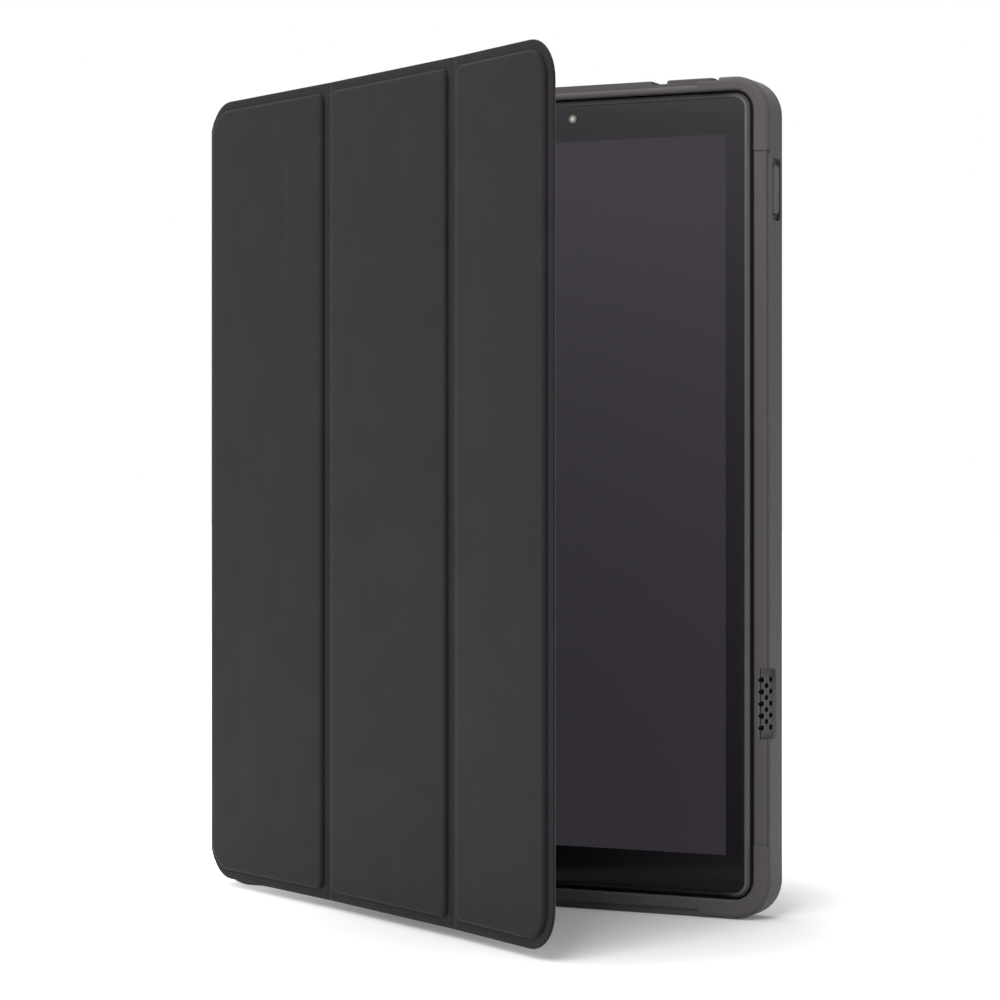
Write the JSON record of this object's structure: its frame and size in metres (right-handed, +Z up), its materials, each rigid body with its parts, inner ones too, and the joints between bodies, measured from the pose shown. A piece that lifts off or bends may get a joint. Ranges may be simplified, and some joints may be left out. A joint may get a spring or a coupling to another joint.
{
  "type": "tri-fold tablet folio",
  "caption": "Tri-fold tablet folio standing half open: soft bumper tray with tablet, spine, and a leather-look cover whose panels fold into a stand.",
  "frame": {"origin": "mouth of the charging slot, in the middle of the bottom edge that the folio stands on", "axes": "+Z up the long side, +Y from the screen to the back, +X to the right of someone facing the screen"},
  "size_m": [0.19, 0.11, 0.2501],
  "materials": {
    "bumper_rubber": "satin moulded",
    "cover_leather": "matte fine grain",
    "microfibre": "soft napped",
    "stiff_board": "plain",
    "magnet_steel": "plated",
    "tablet_metal": "anodised dark",
    "rim_metal": "bevelled satin",
    "screen_glass": "polished",
    "display_black": "switched off",
    "cell_wrap": "wrapped",
    "circuit_board": "solder mask",
    "module_black": "moulded",
    "lamp_white": "clear over phosphor",
    "socket_steel": "stamped"
  },
  "bodies": {
    "tray": {"bumper_shell": "bumper_rubber", "tray_liner": "microfibre", "back_board": "stiff_board", "back_skin": "cover_leather", "back_web": "cover_leather", "tablet_housing": "tablet_metal", "tablet_rim": "rim_metal", "cover_glass": "screen_glass", "display_panel": "display_black", "battery_cells": "cell_wrap", "main_board": "circuit_board", "front_camera": "module_black", "rear_camera": "module_black", "rear_lens": "screen_glass", "flash_lamp": "lamp_white", "charging_port": "socket_steel", "port_board": "circuit_board", "loudspeaker": "module_black", "key_switches": "module_black"},
    "spine": {"spine_skin": "cover_leather", "spine_board": "stiff_board", "spine_lining": "microfibre"},
    "panel_1": {"panel_1_skin": "cover_leather", "panel_1_board": "stiff_board", "panel_1_lining": "microfibre", "keeper_plate": "magnet_steel", "front_web": "cover_leather"},
    "panel_2": {"panel_2_skin": "cover_leather", "panel_2_board": "stiff_board", "panel_2_lining": "microfibre", "fold_web_1": "cover_leather"},
    "panel_3": {"panel_3_skin": "cover_leather", "panel_3_board": "stiff_board", "panel_3_lining": "microfibre", "cover_magnets": "magnet_steel", "wake_magnet": "magnet_steel", "fold_web_2": "cover_leather"},
    "power_button": {"power_pad": "bumper_rubber", "power_key": "tablet_metal"},
    "volume_button": {"volume_pad": "bumper_rubber", "volume_key": "tablet_metal"}
  },
  "joints": [
    {"name": "spine_hinge", "type": "hinge", "parent": "tray", "child": "spine", "pos_m": [-0.09505, 0.0067, 0], "axis": [0, 0, -1], "range_deg": [0, 180], "deforming": ["back_web"]},
    {"name": "cover_hinge", "type": "hinge", "parent": "spine", "child": "panel_1", "pos_m": [-0.09505, -0.00725, 0], "axis": [0, 0, -1], "range_deg": [-28.3, 151.7], "deforming": ["front_web"]},
    {"name": "fold_1", "type": "hinge", "parent": "panel_1", "child": "panel_2", "pos_m": [-0.03403, -0.0401, 0], "axis": [0, 0, 1], "range_deg": [-120, 42], "deforming": ["fold_web_1"]},
    {"name": "fold_2", "type": "hinge", "parent": "panel_2", "child": "panel_3", "pos_m": [0.02454, -0.07406, 0], "axis": [0, 0, 1], "range_deg": [-111, 113], "deforming": ["fold_web_2"]},
    {"name": "power_press", "type": "slide", "parent": "tray", "child": "power_button", "axis": [0, 0, -1], "range_m": [0, 0.0004], "stiffness_N_per_m": 4000},
    {"name": "volume_rock", "type": "hinge", "parent": "tray", "child": "volume_button", "pos_m": [0.0904, 0.0002, 0.2161], "axis": [0, 1, 0], "range_deg": [-2, 2], "stiffness_Nm_per_rad": 0.3}
  ]
}
